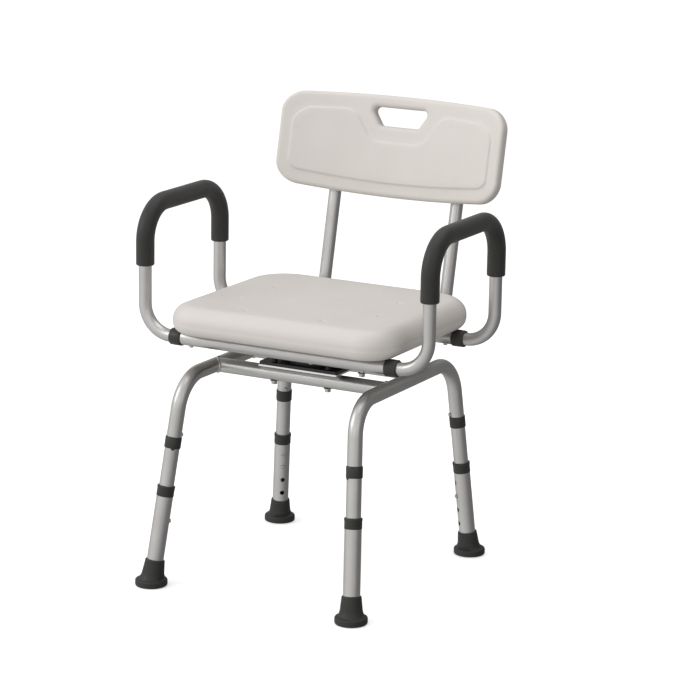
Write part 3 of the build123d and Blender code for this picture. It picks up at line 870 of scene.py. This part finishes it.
@dataclass
class BackShell:
    """The blow-moulded back: a curved panel with a hand hole and a raised pad on its front."""

    finish: bpy.types.Material
    curve: float = 650 * MM
    thickness: float = 24 * MM
    half_width: float = 220 * MM
    half_height: float = 90 * MM
    edge_taper: float = 0.1056
    corner: float = 40 * MM
    front_round: float = 8 * MM
    rear_round: float = 6 * MM
    hole_top: tuple[float, float] = (59 * MM, 68.5 * MM)
    hole_bottom: tuple[float, float] = (37.5 * MM, 35.5 * MM)
    hole_corner: float = 8 * MM
    pad_half_width: float = 196 * MM
    pad_top: float = 62.2 * MM
    pad_bottom: float = -65.5 * MM
    pad_taper: float = 0.19
    pad_corner: float = 18 * MM
    dip_mouth: float = 86 * MM
    dip_foot: float = 51 * MM
    dip_level: float = 6.5 * MM
    dip_corner: float = 34 * MM
    pad_height: float = 2.8 * MM
    step_width: float = 5.0 * MM
    upright_room: float = 0.2 * MM
    spacing: float = 2.6 * MM

    def __post_init__(self) -> None:
        """Work out where the panel stands."""
        tube = mesh_points("back_upright_right")
        panel = mesh_points("back_panel")
        self.up = up_the_back()
        self.rear = np.array([0.0, self.up[2], -self.up[1]])
        heights, depths = panel @ self.up, panel @ self.rear
        self.origin = self.up * (heights.max() + heights.min()) / 2
        self.origin = self.origin + self.rear * (depths.max() - self.thickness)
        (x0, _, _), (x1, _, _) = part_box("back_upright_right")
        self.tube_x, self.tube_radius = (x0 + x1) / 2, (x1 - x0) / 2
        straight = tube[tube[:, 2] > 0.6]
        self.tube_depth = float(np.mean([(straight @ self.rear).min(), (straight @ self.rear).max()])
                                - self.origin @ self.rear)

    def place(self, flat: Points, depth: Points | float) -> Points:
        """Put points of the flat pattern onto the curved panel.

        Args:
            flat: across and up, from the panel's middle.
            depth: how far behind the front surface.

        Returns:
            The points in the chair's frame.
        """
        across, height = flat[:, 0], flat[:, 1]
        back = np.sqrt((self.curve + depth) ** 2 - across ** 2) - self.curve
        return (self.origin + np.outer(across, [1.0, 0.0, 0.0]) + np.outer(height, self.up)
                + np.outer(back, self.rear))

    def tapered(self, loop: Points, taper: float) -> Points:
        """Let a loop's long edges fall away towards the sides."""
        factor = 1 - taper * (loop[:, 0] / self.half_width) ** 2
        return np.column_stack([loop[:, 0], loop[:, 1] * factor])

    def rim(self) -> Points:
        """The panel's outline."""
        w, h = self.half_width, self.half_height
        corners = [(w, -h), (w, h), (-w, h), (-w, -h)]
        return self.tapered(rounded_loop(corners, [self.corner] * 4, self.spacing), self.edge_taper)

    def hole(self) -> Points:
        """The hand hole's outline."""
        (a, top), (b, bottom) = self.hole_top, self.hole_bottom
        corners = [(b, bottom), (a, top), (-a, top), (-b, bottom)]
        return rounded_loop(corners, [self.hole_corner] * 4, self.spacing * 0.7)

    def pad(self) -> Points:
        """The raised pad's outline, with the dip under the hand hole."""
        w, c, d = self.pad_half_width, self.pad_corner, self.dip_corner
        corners = [
            (w, self.pad_bottom), (w, self.pad_top), (self.dip_mouth, self.pad_top),
            (self.dip_foot, self.dip_level), (-self.dip_foot, self.dip_level),
            (-self.dip_mouth, self.pad_top), (-w, self.pad_top), (-w, self.pad_bottom),
        ]
        loop = rounded_loop(corners, [c, 2 * c, d, d, d, d, 2 * c, c], self.spacing)
        return self.tapered(loop, self.pad_taper)

    def front(self) -> tuple[Points, Faces, list[int], list[int]]:
        """The front skin.

        Returns:
            Its points, its faces, and the indices of its rim and of its hole's edge.
        """
        pad = self.pad()
        loops, depths = [], []
        for share in (0.0, 0.12, 0.3, 0.5, 0.7, 0.88, 1.0):
            loops.append(offset_loop(pad, self.step_width * (0.5 - share)))
            depths.append(-self.pad_height * float(smoothstep(np.array(share), 0.0, 1.0)))
        rim = offset_loop(self.rim(), -self.front_round)
        hole = offset_loop(self.hole(), self.front_round)
        flat, faces, spots = fill_between(rim, [hole], loops, 9 * MM)
        depth = np.where(inside_loop(flat, loops[-1]), -self.pad_height, 0.0)
        for loop, value, indices in zip(loops, depths, spots[2:]):
            depth[indices] = value
        return self.place(flat, depth), faces, spots[0], spots[1]

    def rear_skin(self) -> tuple[Points, Faces, list[int], list[int]]:
        """The rear skin, with a groove for each upright.

        Returns:
            Its points, its faces, and the indices of its rim and of its hole's edge.
        """
        rim = offset_loop(self.rim(), -self.rear_round)
        hole = offset_loop(self.hole(), self.rear_round)
        radius = self.tube_radius + self.upright_room
        height = self.half_height - self.rear_round - 5 * MM
        rows = np.arange(-height, height, 4 * MM)
        lines = []
        for side in Side:
            for share in (-1.0, -0.9, -0.75, -0.5, -0.2, 0.2, 0.5, 0.75, 0.9, 1.0):
                across = side.value * self.tube_x + share * radius
                lines.append(np.column_stack([np.full(len(rows), across), rows]))
        flat, faces, spots = fill_between(rim, [hole], [], 9 * MM, lines)
        back = np.sqrt((self.curve + self.thickness) ** 2 - flat[:, 0] ** 2) - self.curve
        off_axis = np.abs(np.abs(flat[:, 0]) - self.tube_x)
        groove = self.tube_depth - np.sqrt(np.clip(radius ** 2 - off_axis ** 2, 0.0, None))
        sunk = np.where((off_axis < radius) & (np.abs(flat[:, 1]) < height + 1 * MM), groove, back)
        back = np.minimum(back, sunk)
        depth = np.sqrt((back + self.curve) ** 2 + flat[:, 0] ** 2) - self.curve
        return self.place(flat, depth), faces, spots[0], spots[1]

    def build(self) -> None:
        """Build the two skins, and join them round the rim and through the hand hole."""
        front, front_faces, front_rim, front_hole = self.front()
        rear, rear_faces, rear_rim, rear_hole = self.rear_skin()
        start = len(front)
        points = [front, rear]
        faces = list(front_faces) + [tuple(i + start for i in face) for face in rear_faces]
        count = len(front) + len(rear)
        for outline, sign, first, last in (
            (self.rim(), -1.0, front_rim, rear_rim), (self.hole(), 1.0, front_hole, rear_hole),
        ):
            rings = []
            for angle in np.linspace(0, pi / 2, 9)[1:]:
                away = self.front_round * (1 - sin(angle))
                rings.append((away, self.front_round * (1 - cos(angle))))
            for angle in np.linspace(pi / 2, 0, 8)[:-1]:
                away = self.rear_round * (1 - sin(angle))
                rings.append((away, self.thickness - self.rear_round * (1 - cos(angle))))
            before = list(first)
            for away, depth in rings:
                ring = self.place(offset_loop(outline, sign * away), depth)
                points.append(ring)
                here = list(range(count, count + len(ring)))
                count += len(ring)
                faces += strip(before, here)
                before = here
            faces += strip(before, [i + start for i in last])
        shell = new_piece("back_shell", np.concatenate(points), faces, self.finish, "seat", "white_plastic")
        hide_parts("back_panel")


@dataclass
class ArmRests:
    """Foam sleeves on the two arms, and the collars where the arms plug in."""

    foam: bpy.types.Material
    collar_finish: bpy.types.Material
    bend: float = 62 * MM
    end_round: float = 2.6 * MM
    tube_radius: float = 11.12 * MM
    collar_half_length: float = 11 * MM
    collar_bevel: float = 1.2 * MM
    collar_lip: float = 0.2 * MM
    sides: int = 44

    def grip(self, side: Side) -> None:
        """Build one foam sleeve.

        Args:
            side: which arm it goes on.
        """
        node = f"arm_grip_{side.word}"
        (x0, y0, z0), (x1, y1, z1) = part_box(node)
        radius = (x1 - x0) / 2
        x, front, rear, top = (x0 + x1) / 2, y0 + radius, y1 - radius, z1 - radius
        path = bent_path([(x, front, z0), (x, front, top), (x, rear, top), (x, rear, z0)], self.bend, 4 * MM)
        ends = np.array([0.0, 0.12, 0.4, 0.8, 1.0]) * self.end_round
        lead = path[0] + np.outer(ends, (path[1] - path[0]) / np.linalg.norm(path[1] - path[0]))
        tail = path[-1] + np.outer(ends[::-1], (path[-2] - path[-1]) / np.linalg.norm(path[-2] - path[-1]))
        path = np.concatenate([lead, path[1:-1], tail])
        fall = radius - self.end_round + np.sqrt(self.end_round ** 2 - (self.end_round - ends) ** 2)
        outer = np.concatenate([fall, np.full(len(path) - 2 * len(ends), radius), fall[::-1]])
        skin = tube_rings(path, outer, self.sides)
        lining = tube_rings(path, np.full(len(path), self.tube_radius), self.sides)
        points, faces = join_rings(skin + lining[::-1], closed=True)
        grip = new_piece(f"foam_grip_{side.word}", points, faces, self.foam, "seat", "grip_foam")
        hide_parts(node)

    def collars(self) -> None:
        """Build the four collars where the arms enter the seat tubes."""
        tube, outer = half_height("seat_cross_tube_front"), half_height("arm_socket_collars")
        b, end = self.collar_bevel, self.collar_half_length
        lip = outer - self.collar_lip
        rings: list[Skin] = []
        for sx, sy in QUARTERS:
            mouth = quarter_middle("arm_socket_collars", sx, sy)
            profile = [
                (tube, -end), (outer - b, -end), (outer - 0.3 * b, -end + 0.3 * b), (outer, -end + b),
                (outer, 3 * MM), (lip, 3.6 * MM), (lip, end - b), (outer - 0.5 * b, end - 0.3 * b),
                (outer - 1.2 * b, end), (self.tube_radius, end), (self.tube_radius, 0.0), (tube, 0.0),
            ]
            rings.append(join_rings(lathe(profile, mouth, (sx, 0, 0), 56), closed=True))
        points, faces = merged(rings)
        piece = new_piece("arm_collars", points, faces, self.collar_finish, "seat", "black_rubber")
        soften(piece)
        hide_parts("arm_socket_collars")

    def build(self) -> None:
        """Build both sleeves and the collars."""
        for side in Side:
            self.grip(side)
        self.collars()


@dataclass
class Legs:
    """What is moulded onto the legs: the joint collars, the height collars and the feet."""

    collar_finish: bpy.types.Material
    foot_finish: bpy.types.Material
    joint_collar_wall: float = 1.4 * MM
    tongue_radius: float = 3.6 * MM
    tongue_turn: float = 34.0
    sole_mm: tuple[tuple[float, float], ...] = (
        (2.0, 0.0), (8.0, 0.0), (8.6, 1.0), (10.4, 1.0), (11.0, 0.0), (15.0, 0.0), (15.6, 1.0),
        (17.4, 1.0), (18.0, 0.0), (22.6, 0.0), (24.9, 0.0), (26.4, 0.55), (27.4, 1.7), (27.75, 3.0),
        (27.75, 6.0), (27.75, 9.0), (27.5, 10.2), (26.8, 11.2), (25.7, 11.9), (24.2, 12.4),
        (22.4, 12.9), (21.1, 13.8), (20.4, 15.4),
    )
    neck_start: float = 17.5 * MM
    neck_rings: int = 12
    neck_radius: float = 16.6 * MM
    neck_flare: float = 0.105
    bore_floor: float = 9 * MM
    sides: int = 56

    @staticmethod
    def down(name: str, joints: list[dict]) -> Points:
        """The way down a leg.

        Args:
            name: the leg, such as front_left.
            joints: the frame's joints.

        Returns:
            A unit vector.
        """
        axis = next(j["axis"] for j in joints if j["name"] == f"leg_height_{name}")
        vector = np.array(axis) / np.linalg.norm(axis)
        return vector if vector[2] < 0 else -vector

    def joint_collars(self, joints: list[dict]) -> None:
        """Build the collars where the legs plug into the frame, each with its tongue.

        Args:
            joints: the frame's joints.
        """
        tube = half_height("base_cross_tube_front")
        outer = tube + self.joint_collar_wall
        rings = []
        for (sx, sy), name in zip(QUARTERS, LEG_NAMES):
            centre, down = quarter_middle("leg_socket_collars", sx, sy), self.down(name, joints)
            turn = radians(self.tongue_turn)
            facing = np.array([-sx * sin(turn), sy * cos(turn), 0.0])
            half, b = 10 * MM, 1.0 * MM
            profile = [
                (tube, -half), (outer - b, -half), (outer - 0.3 * b, -half + 0.3 * b), (outer, -half + b),
                (outer, half - b), (outer - 0.3 * b, half - 0.3 * b), (outer - b, half), (tube, half),
            ]
            skin = lathe(profile, centre, down, self.sides * 3, facing)
            skin = self.with_tongue(skin, centre, down, facing, half, outer)
            rings.append(join_rings(skin, closed=True))
        points, faces = merged(rings)
        piece = new_piece("joint_collars", points, faces, self.collar_finish, "base", "black_rubber")
        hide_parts("leg_socket_collars")

    def with_tongue(self, skin: list[Points], centre: Points, down: Points, facing: Points, half: float,
                    outer: float) -> list[Points]:
        """Let the lower edge of a collar grow a small round tongue.

        Args:
            skin: the collar's rings.
            centre: the collar's middle.
            down: the way down the leg.
            facing: the way that the tongue looks.
            half: half of the collar's length.
            outer: the collar's radius.

        Returns:
            The rings with the tongue.
        """
        result = []
        for ring in skin:
            away = ring - centre
            along = away @ down
            flat = away - np.outer(along, down)
            look = facing - down * (facing @ down)
            cosine = flat @ look / (np.linalg.norm(flat, axis=1) * np.linalg.norm(look))
            arc = np.arccos(np.clip(cosine, -1, 1)) * outer
            grow = np.sqrt(np.clip(self.tongue_radius ** 2 - arc ** 2, 0.0, None)) * 0.75
            low = smoothstep(along, half - 1.1 * MM, half - 0.2 * MM)
            result.append(ring + np.outer(grow * low, down))
        return result

    def height_collar(self, name: str, joints: list[dict]) -> None:
        """Build the collar on top of a lower tube.

        Args:
            name: the leg, such as front_left.
            joints: the frame's joints.
        """
        node = f"leg_lower_collar_{name}"
        centre, down = middle_of(node), self.down(name, joints)
        reach = np.abs((mesh_points(node) - centre) @ down).max()
        flat = mesh_points(node) - centre
        outer = np.linalg.norm(flat - np.outer(flat @ down, down), axis=1).max()
        tube, lip = outer - 1.1 * MM, outer - 2.4 * MM
        b, waist = 0.8 * MM, 0.45 * MM
        profile = [
            (lip, -reach), (outer - b, -reach), (outer - 0.3 * b, -reach + 0.3 * b), (outer, -reach + b),
            (outer, -reach + 4.2 * MM), (outer - waist, -reach + 5.0 * MM), (outer - waist, reach - b),
            (outer - waist - 0.3 * b, reach - 0.3 * b), (tube + 0.1 * MM, reach), (tube, reach),
            (tube, -reach + 1.5 * MM), (lip, -reach + 1.5 * MM),
        ]
        points, faces = join_rings(lathe(profile, centre, down, self.sides), closed=True)
        piece = new_piece(f"height_collar_{name}", points, faces, self.collar_finish,
                          f"leg_{name}", "black_rubber")
        soften(piece)
        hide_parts(node)

    def foot(self, name: str, joints: list[dict]) -> None:
        """Build a rubber foot: a sole with grooves, a soft shoulder and a neck that follows the leg.

        Args:
            name: the leg, such as front_left.
            joints: the frame's joints.
        """
        node, tube = f"leg_foot_{name}", f"leg_lower_tube_{name}"
        down, on_axis = self.down(name, joints), middle_of(f"leg_lower_tube_{name}")
        base = on_axis + down * (on_axis[2] / -down[2])
        top_reach = ((mesh_points(node) - base) @ -down).max()
        bore = self.leg_radius(tube, down)
        upright = np.array([0.0, 0.0, -1.0])
        angles = np.linspace(0, 2 * pi, self.sides, endpoint=False)
        rings = []
        for radius, height in self.sole_mm:
            rings.append(self.hoop(base, upright, radius * MM, height * MM, angles))
        neck = np.linspace(self.neck_start, top_reach - 1.4 * MM, self.neck_rings)
        for i, reach in enumerate(neck):
            tilt = min(1.0, 0.35 + i * 0.33)
            normal = upright * (1 - tilt) + down * tilt
            extra = 0.9 * MM * max(0.0, 1 - i / 2.5) ** 2
            radius = self.neck_radius + self.neck_flare * (top_reach - reach) + extra
            normal /= np.linalg.norm(normal)
            rings.append(self.hoop(base - down * reach, normal, radius, 0.0, angles))
        for inset, reach in ((0.35, 0.55), (0.9, 0.1), (1.5, 0.0)):
            lip = base - down * (top_reach - reach * MM)
            rings.append(self.hoop(lip, down, self.neck_radius - inset * MM, 0.0, angles))
        rings.append(self.hoop(base - down * (top_reach - 0.5 * MM), down, bore, 0.0, angles))
        rings.append(self.hoop(base - down * self.bore_floor, down, bore, 0.0, angles))
        points, faces = join_rings(rings, caps=True)
        piece = new_piece(f"rubber_foot_{name}", points, faces, self.foot_finish,
                          f"leg_{name}", "black_rubber")
        soften(piece, 40.0)
        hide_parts(node)

    @staticmethod
    def leg_radius(tube: str, down: Points) -> float:
        """The outside radius of a leg's lower tube.

        Args:
            tube: the tube's node.
            down: the way down the leg.

        Returns:
            The radius, with a hair's room.
        """
        away = mesh_points(tube) - middle_of(tube)
        return float(np.linalg.norm(away - np.outer(away @ down, down), axis=1).max()) + 0.03 * MM

    @staticmethod
    def hoop(centre: Points, normal: Points, radius: float, lift: float, angles: Points) -> Points:
        """A circle of points.

        Args:
            centre: where the circle's axis starts.
            normal: the circle's axis, pointing down.
            radius: the circle's radius.
            lift: how far above the centre.
            angles: the points' angles.

        Returns:
            The points.
        """
        across = np.array([1.0, 0.0, 0.0]) - normal * normal[0]
        across /= np.linalg.norm(across)
        other = np.cross(normal, across)
        circle = np.cos(angles)[:, None] * across + np.sin(angles)[:, None] * other
        return centre - normal * lift + radius * circle

    def build(self, joints: list[dict]) -> None:
        """Build everything on the four legs.

        Args:
            joints: the frame's joints.
        """
        self.joint_collars(joints)
        for name in LEG_NAMES:
            self.height_collar(name, joints)
            self.foot(name, joints)


@dataclass
class WeldBeads:
    """Beads of weld where one tube ends on another."""

    finish: bpy.types.Material
    bead_radius: float = 2.1 * MM
    ripples: int = 30
    steps: int = 180
    sides: int = 12

    def bead(self, crossing: Points, along: Points, other: Points, radius: float
             ) -> Skin:
        """The bead round a tube's end.

        Args:
            crossing: where the tubes' axes cross.
            along: the way that the ending tube leaves the crossing.
            other: the direction of the tube that it ends on.
            radius: the tubes' radius.

        Returns:
            Its points and faces.
        """
        turn = np.linspace(0, 2 * pi, self.steps, endpoint=False)
        third = np.cross(along, other)
        reach = radius * np.sqrt(np.sin(turn) ** 2 + 0.012)
        out = np.outer(np.sin(turn), other) + np.outer(np.cos(turn), third)
        path = crossing + np.outer(reach, along) + radius * out
        tangent = np.roll(path, -1, axis=0) - np.roll(path, 1, axis=0)
        tangent /= np.linalg.norm(tangent, axis=1)[:, None]
        first = out - tangent * np.sum(out * tangent, axis=1)[:, None]
        first /= np.linalg.norm(first, axis=1)[:, None]
        second = np.cross(tangent, first)
        size = self.bead_radius * (1 + 0.10 * np.abs(np.sin(turn * self.ripples / 2)))
        rings = []
        for i in range(self.steps):
            angles = np.linspace(0, 2 * pi, self.sides, endpoint=False)[:, None]
            rings.append(path[i] + size[i] * (np.cos(angles) * first[i] + np.sin(angles) * second[i]))
        return join_rings(rings, closed=True)

    def build(self) -> None:
        """Build the beads on the base and on the seat frame."""
        x_way, y_way = np.array([1.0, 0.0, 0.0]), np.array([0.0, 1.0, 0.0])
        base_beads, seat_beads = [], []
        for sx, sy in QUARTERS:
            end = "front" if sy < 0 else "rear"
            cross = f"base_cross_tube_{end}"
            centre = middle_of(cross) + np.array([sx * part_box(cross)[1][0], 0, 0])
            base_beads.append(self.bead(centre, -sx * x_way, y_way, half_height(cross)))
            cross = f"seat_cross_tube_{end}"
            radius = half_height(cross)
            tubes = [("seat_rails", -sy * y_way)] + [("back_sockets", y_way)] * (sy > 0)
            for node, along in tubes:
                centre = middle_of(cross) + np.array([sx * (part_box(node)[1][0] - radius), 0, 0])
                seat_beads.append(self.bead(centre, along, x_way, radius))
        new_piece("base_welds", *merged(base_beads), self.finish, "base", "anodised_aluminium")
        new_piece("seat_frame_welds", *merged(seat_beads), self.finish, "seat", "anodised_aluminium")


@dataclass
class UprightPlugs:
    """Plastic plugs in the open tops of the back's uprights."""

    finish: bpy.types.Material
    proud: float = 1.6 * MM
    depth: float = 12 * MM

    def build(self) -> None:
        """Build both plugs."""
        for side in Side:
            node = f"back_upright_{side.word}"
            points = mesh_points(node)
            up = up_the_back()
            top = points[points @ up > (points @ up).max() - 0.2 * MM]
            centre = (top.max(axis=0) + top.min(axis=0)) / 2
            (x0, _, _), (x1, _, _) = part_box(node)
            radius = (x1 - x0) / 2
            bore = radius - 1.52 * MM
            profile = [
                (bore * 0.55, -self.depth), (bore - 0.6 * MM, -self.depth), (bore, -self.depth + 1.2 * MM),
                (bore, 0.02 * MM), (radius - 0.2 * MM, 0.02 * MM), (radius - 0.1 * MM, 0.4 * MM),
                (radius - 0.8 * MM, 0.8 * self.proud), (radius - 2.6 * MM, self.proud),
                (2 * MM, self.proud),
            ]
            skin, faces = join_rings(lathe(profile, centre, up, 40), caps=True)
            piece = new_piece(f"upright_plug_{side.word}", skin, faces, self.finish, "seat", "black_plastic")
            soften(piece)


@dataclass
class CadFinishes:
    """The finishes of the CAD pieces that stay as they are."""

    frame: dict
    metals: dict[Grain, bpy.types.Material]
    plate: bpy.types.Material
    bright: bpy.types.Material
    dark: bpy.types.Material
    # the swivel plate pad's finish: near-black, partly its own rubber colour and partly painted shade under
    # the seat
    pad: bpy.types.Material
    cage: bpy.types.Material

    def build(self) -> None:
        """Dress every CAD piece by its name."""
        for name in self.frame["nodes"]:
            dress(name, self.choose(name), self.frame)

    def choose(self, name: str) -> bpy.types.Material:
        """The finish of a CAD piece.

        Args:
            name: the node's name.

        Returns:
            The material.
        """
        groups = (
            (self.metals[Grain.ALONG_X], ("base_cross_tube", "seat_cross_tube")),
            (self.metals[Grain.ALONG_Y], ("seat_rails", "back_sockets")),
            (self.metals[Grain.ALONG_Z], ("back_upright", "leg_extension_tube", "leg_lower_tube")),
            (self.metals[Grain.EVEN], ("base_side_tube", "arm_tube")),
            (self.plate, ("swivel_base_plate",)),
            # the swivel plate's pad is near-black partly as painted shade, standing in for the shadow that
            # the seat casts on the plate's top
            (self.pad, ("swivel_base_pad",)),
            (self.cage, ("swivel_ball_cage",)),
            (self.dark, ("swivel_top_plate", "swivel_lower_race", "swivel_upper_race", "base_plate_bolts")),
        )
        return next((material for material, starts in groups if name.startswith(starts)), self.bright)


@dataclass
class Studio:
    """A pale floor, soft light and the camera."""

    lens: float = 150.0
    sensor: float = 36.0
    place: tuple[float, float, float] = (2.3366, -4.2803, 1.5765)
    yaw: float = 28.16
    pitch: float = 13.73
    roll: float = 0.97
    floor_half: float = 30.0
    sky_strength: tuple[float, float] = (0.26, 1.05)
    sky_steps: tuple[tuple[float, float], ...] = ((0.0, 0.95), (0.40, 0.90), (0.54, 0.88), (0.80, 1.0))
    bright_side: tuple[float, float, float] = (-0.60, -0.70, 0.25)

    def floor(self) -> None:
        """Lay the floor."""
        steps = np.linspace(-self.floor_half, self.floor_half, 9)
        points = [(x, y, -0.4 * MM) for y in steps for x in steps]
        corners = [row * 9 + column for row in range(8) for column in range(8)]
        faces = [(i, i + 1, i + 10, i + 9) for i in corners]
        mesh = bpy.data.meshes.new("floor")
        mesh.from_pydata(points, [], faces)
        recipe = Recipe("pale_floor")
        cloud = recipe.noise(900.0, detail=1.0)
        recipe.feed(recipe.tint(cloud, (0.93, 0.93, 0.93), (0.95, 0.95, 0.95)), "Base Color")
        recipe.set(Roughness=0.9, Specular_IOR_Level=0.1)
        recipe.set(Emission_Color=(1.0, 1.0, 1.0), Emission_Strength=0.42)
        mesh.materials.append(recipe.material)
        floor = bpy.data.objects.new("floor", mesh)
        bpy.context.scene.collection.objects.link(floor)
        floor.visible_glossy = False
        floor.visible_diffuse = False

    def lamp(self, name: str, at: tuple[float, float, float], size: tuple[float, float],
             power: float) -> None:
        """Hang a soft box that looks at the chair.

        Args:
            name: the lamp's name.
            at: where it hangs.
            size: its width and height.
            power: its power in watts.
        """
        data = bpy.data.lights.new(name, "AREA")
        data.shape = "RECTANGLE"
        data.size, data.size_y = size
        data.energy = power
        lamp = bpy.data.objects.new(name, data)
        lamp.location = at
        aim = Vector((0.0, 0.0, 0.45)) - Vector(at)
        lamp.rotation_euler = aim.to_track_quat("-Z", "Y").to_euler()
        bpy.context.scene.collection.objects.link(lamp)

    def sky(self) -> None:
        """Surround the scene with soft grey light that is brighter on one side."""
        world = bpy.data.worlds.new("studio")
        bpy.context.scene.world = world
        world.use_nodes = True
        nodes, links = world.node_tree.nodes, world.node_tree.links
        coords = nodes.new("ShaderNodeTexCoord")
        split = nodes.new("ShaderNodeSeparateXYZ")
        height = nodes.new("ShaderNodeMapRange")
        height.inputs["From Min"].default_value = -1.0
        ramp = nodes.new("ShaderNodeValToRGB")
        while len(ramp.color_ramp.elements) < len(self.sky_steps):
            ramp.color_ramp.elements.new(0.5)
        for element, (position, level) in zip(ramp.color_ramp.elements, self.sky_steps):
            element.position = position
            element.color = (level, level, level, 1.0)
        links.new(coords.outputs["Generated"], split.inputs["Vector"])
        links.new(split.outputs["Z"], height.inputs["Value"])
        links.new(height.outputs["Result"], ramp.inputs["Fac"])
        toward = nodes.new("ShaderNodeVectorMath")
        toward.operation = "DOT_PRODUCT"
        toward.inputs[1].default_value = self.bright_side
        strength = nodes.new("ShaderNodeMapRange")
        strength.inputs["From Min"].default_value = -0.7
        strength.inputs["From Max"].default_value = 0.9
        strength.inputs["To Min"].default_value = self.sky_strength[0]
        strength.inputs["To Max"].default_value = self.sky_strength[1]
        links.new(coords.outputs["Generated"], toward.inputs[0])
        links.new(toward.outputs["Value"], strength.inputs["Value"])
        links.new(strength.outputs["Result"], nodes["Background"].inputs["Strength"])
        links.new(ramp.outputs["Color"], nodes["Background"].inputs["Color"])

    def camera(self) -> None:
        """Set up the camera."""
        yaw, pitch, roll = radians(self.yaw), radians(self.pitch), radians(self.roll)
        ahead = Vector((-sin(yaw) * cos(pitch), cos(yaw) * cos(pitch), -sin(pitch)))
        right = Vector((cos(yaw), sin(yaw), 0.0))
        up = right.cross(ahead)
        across = right * cos(roll) + up * sin(roll)
        above = -right * sin(roll) + up * cos(roll)
        data = bpy.data.cameras.new("camera")
        data.lens, data.sensor_width = self.lens, self.sensor
        data.clip_end = 200.0
        camera = bpy.data.objects.new("camera", data)
        turn = Matrix((across, above, -ahead)).transposed().to_4x4()
        camera.matrix_world = Matrix.Translation(Vector(self.place)) @ turn
        bpy.context.scene.collection.objects.link(camera)
        bpy.context.scene.camera = camera

    def build(self) -> None:
        """Build the whole studio."""
        bpy.context.scene.view_settings.view_transform = "Standard"
        self.floor()
        self.sky()
        self.lamp("key", (-2.4, -2.2, 2.2), (1.7, 2.0), 26.0)
        self.lamp("fill", (2.6, -1.6, 1.4), (1.0, 2.0), 5.0)
        self.lamp("front", (1.2, -4.6, 2.0), (3.0, 2.0), 9.0)
        self.lamp("overhead", (0.2, 0.3, 3.0), (2.4, 2.4), 20.0)
        self.camera()


def main() -> None:
    """Build the chair's looks in order."""
    logging.basicConfig(level=logging.INFO, format="%(name)s: %(message)s")
    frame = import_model()
    joints = frame["joints"]

    aluminium = (0.57, 0.56, 0.545)
    metals = {
        grain: SatinMetal(f"anodised_tube_{grain.name.lower()}", aluminium, grain=grain).make()
        for grain in Grain
    }
    plastic = MouldedPlastic("white_shell_plastic", (0.67, 0.632, 0.595)).make()
    foam = Foam("black_grip_foam", (0.016, 0.0155, 0.014)).make()
    rubber = Rubber("foot_rubber", (0.015, 0.0145, 0.013)).make()
    collar = MouldedPlastic("collar_plastic", (0.022, 0.021, 0.019), gloss=0.42, grain_depth=0.03).make()

    CadFinishes(
        frame=frame, metals=metals,
        plate=SatinMetal("plate_aluminium", (0.93, 0.92, 0.91), gloss=0.42).make(),
        bright=SatinMetal("zinc_steel", (0.50, 0.49, 0.47), gloss=0.28).make(),
        dark=SatinMetal("blackened_steel", (0.05, 0.05, 0.05), gloss=0.38).make(),
        # near-black pad rubber: its own dark colour plus painted shade for the shadow under the seat on the
        # swivel plate
        pad=Rubber("plate_pad_black_painted_shade", (0.012, 0.012, 0.012), gloss=0.35).make(),
        cage=MouldedPlastic("cage_nylon", (0.25, 0.24, 0.22)).make(),
    ).build()
    WeldBeads(SatinMetal("weld_metal", (0.60, 0.59, 0.58), gloss=0.38).make()).build()
    Legs(collar, rubber).build(joints)
    SeatShell(plastic).build()
    BackShell(plastic).build()
    ArmRests(foam, collar).build()
    UprightPlugs(collar).build()
    Studio().build()

    LOG.info("sizes written")


if __name__ == "__main__":
    main()
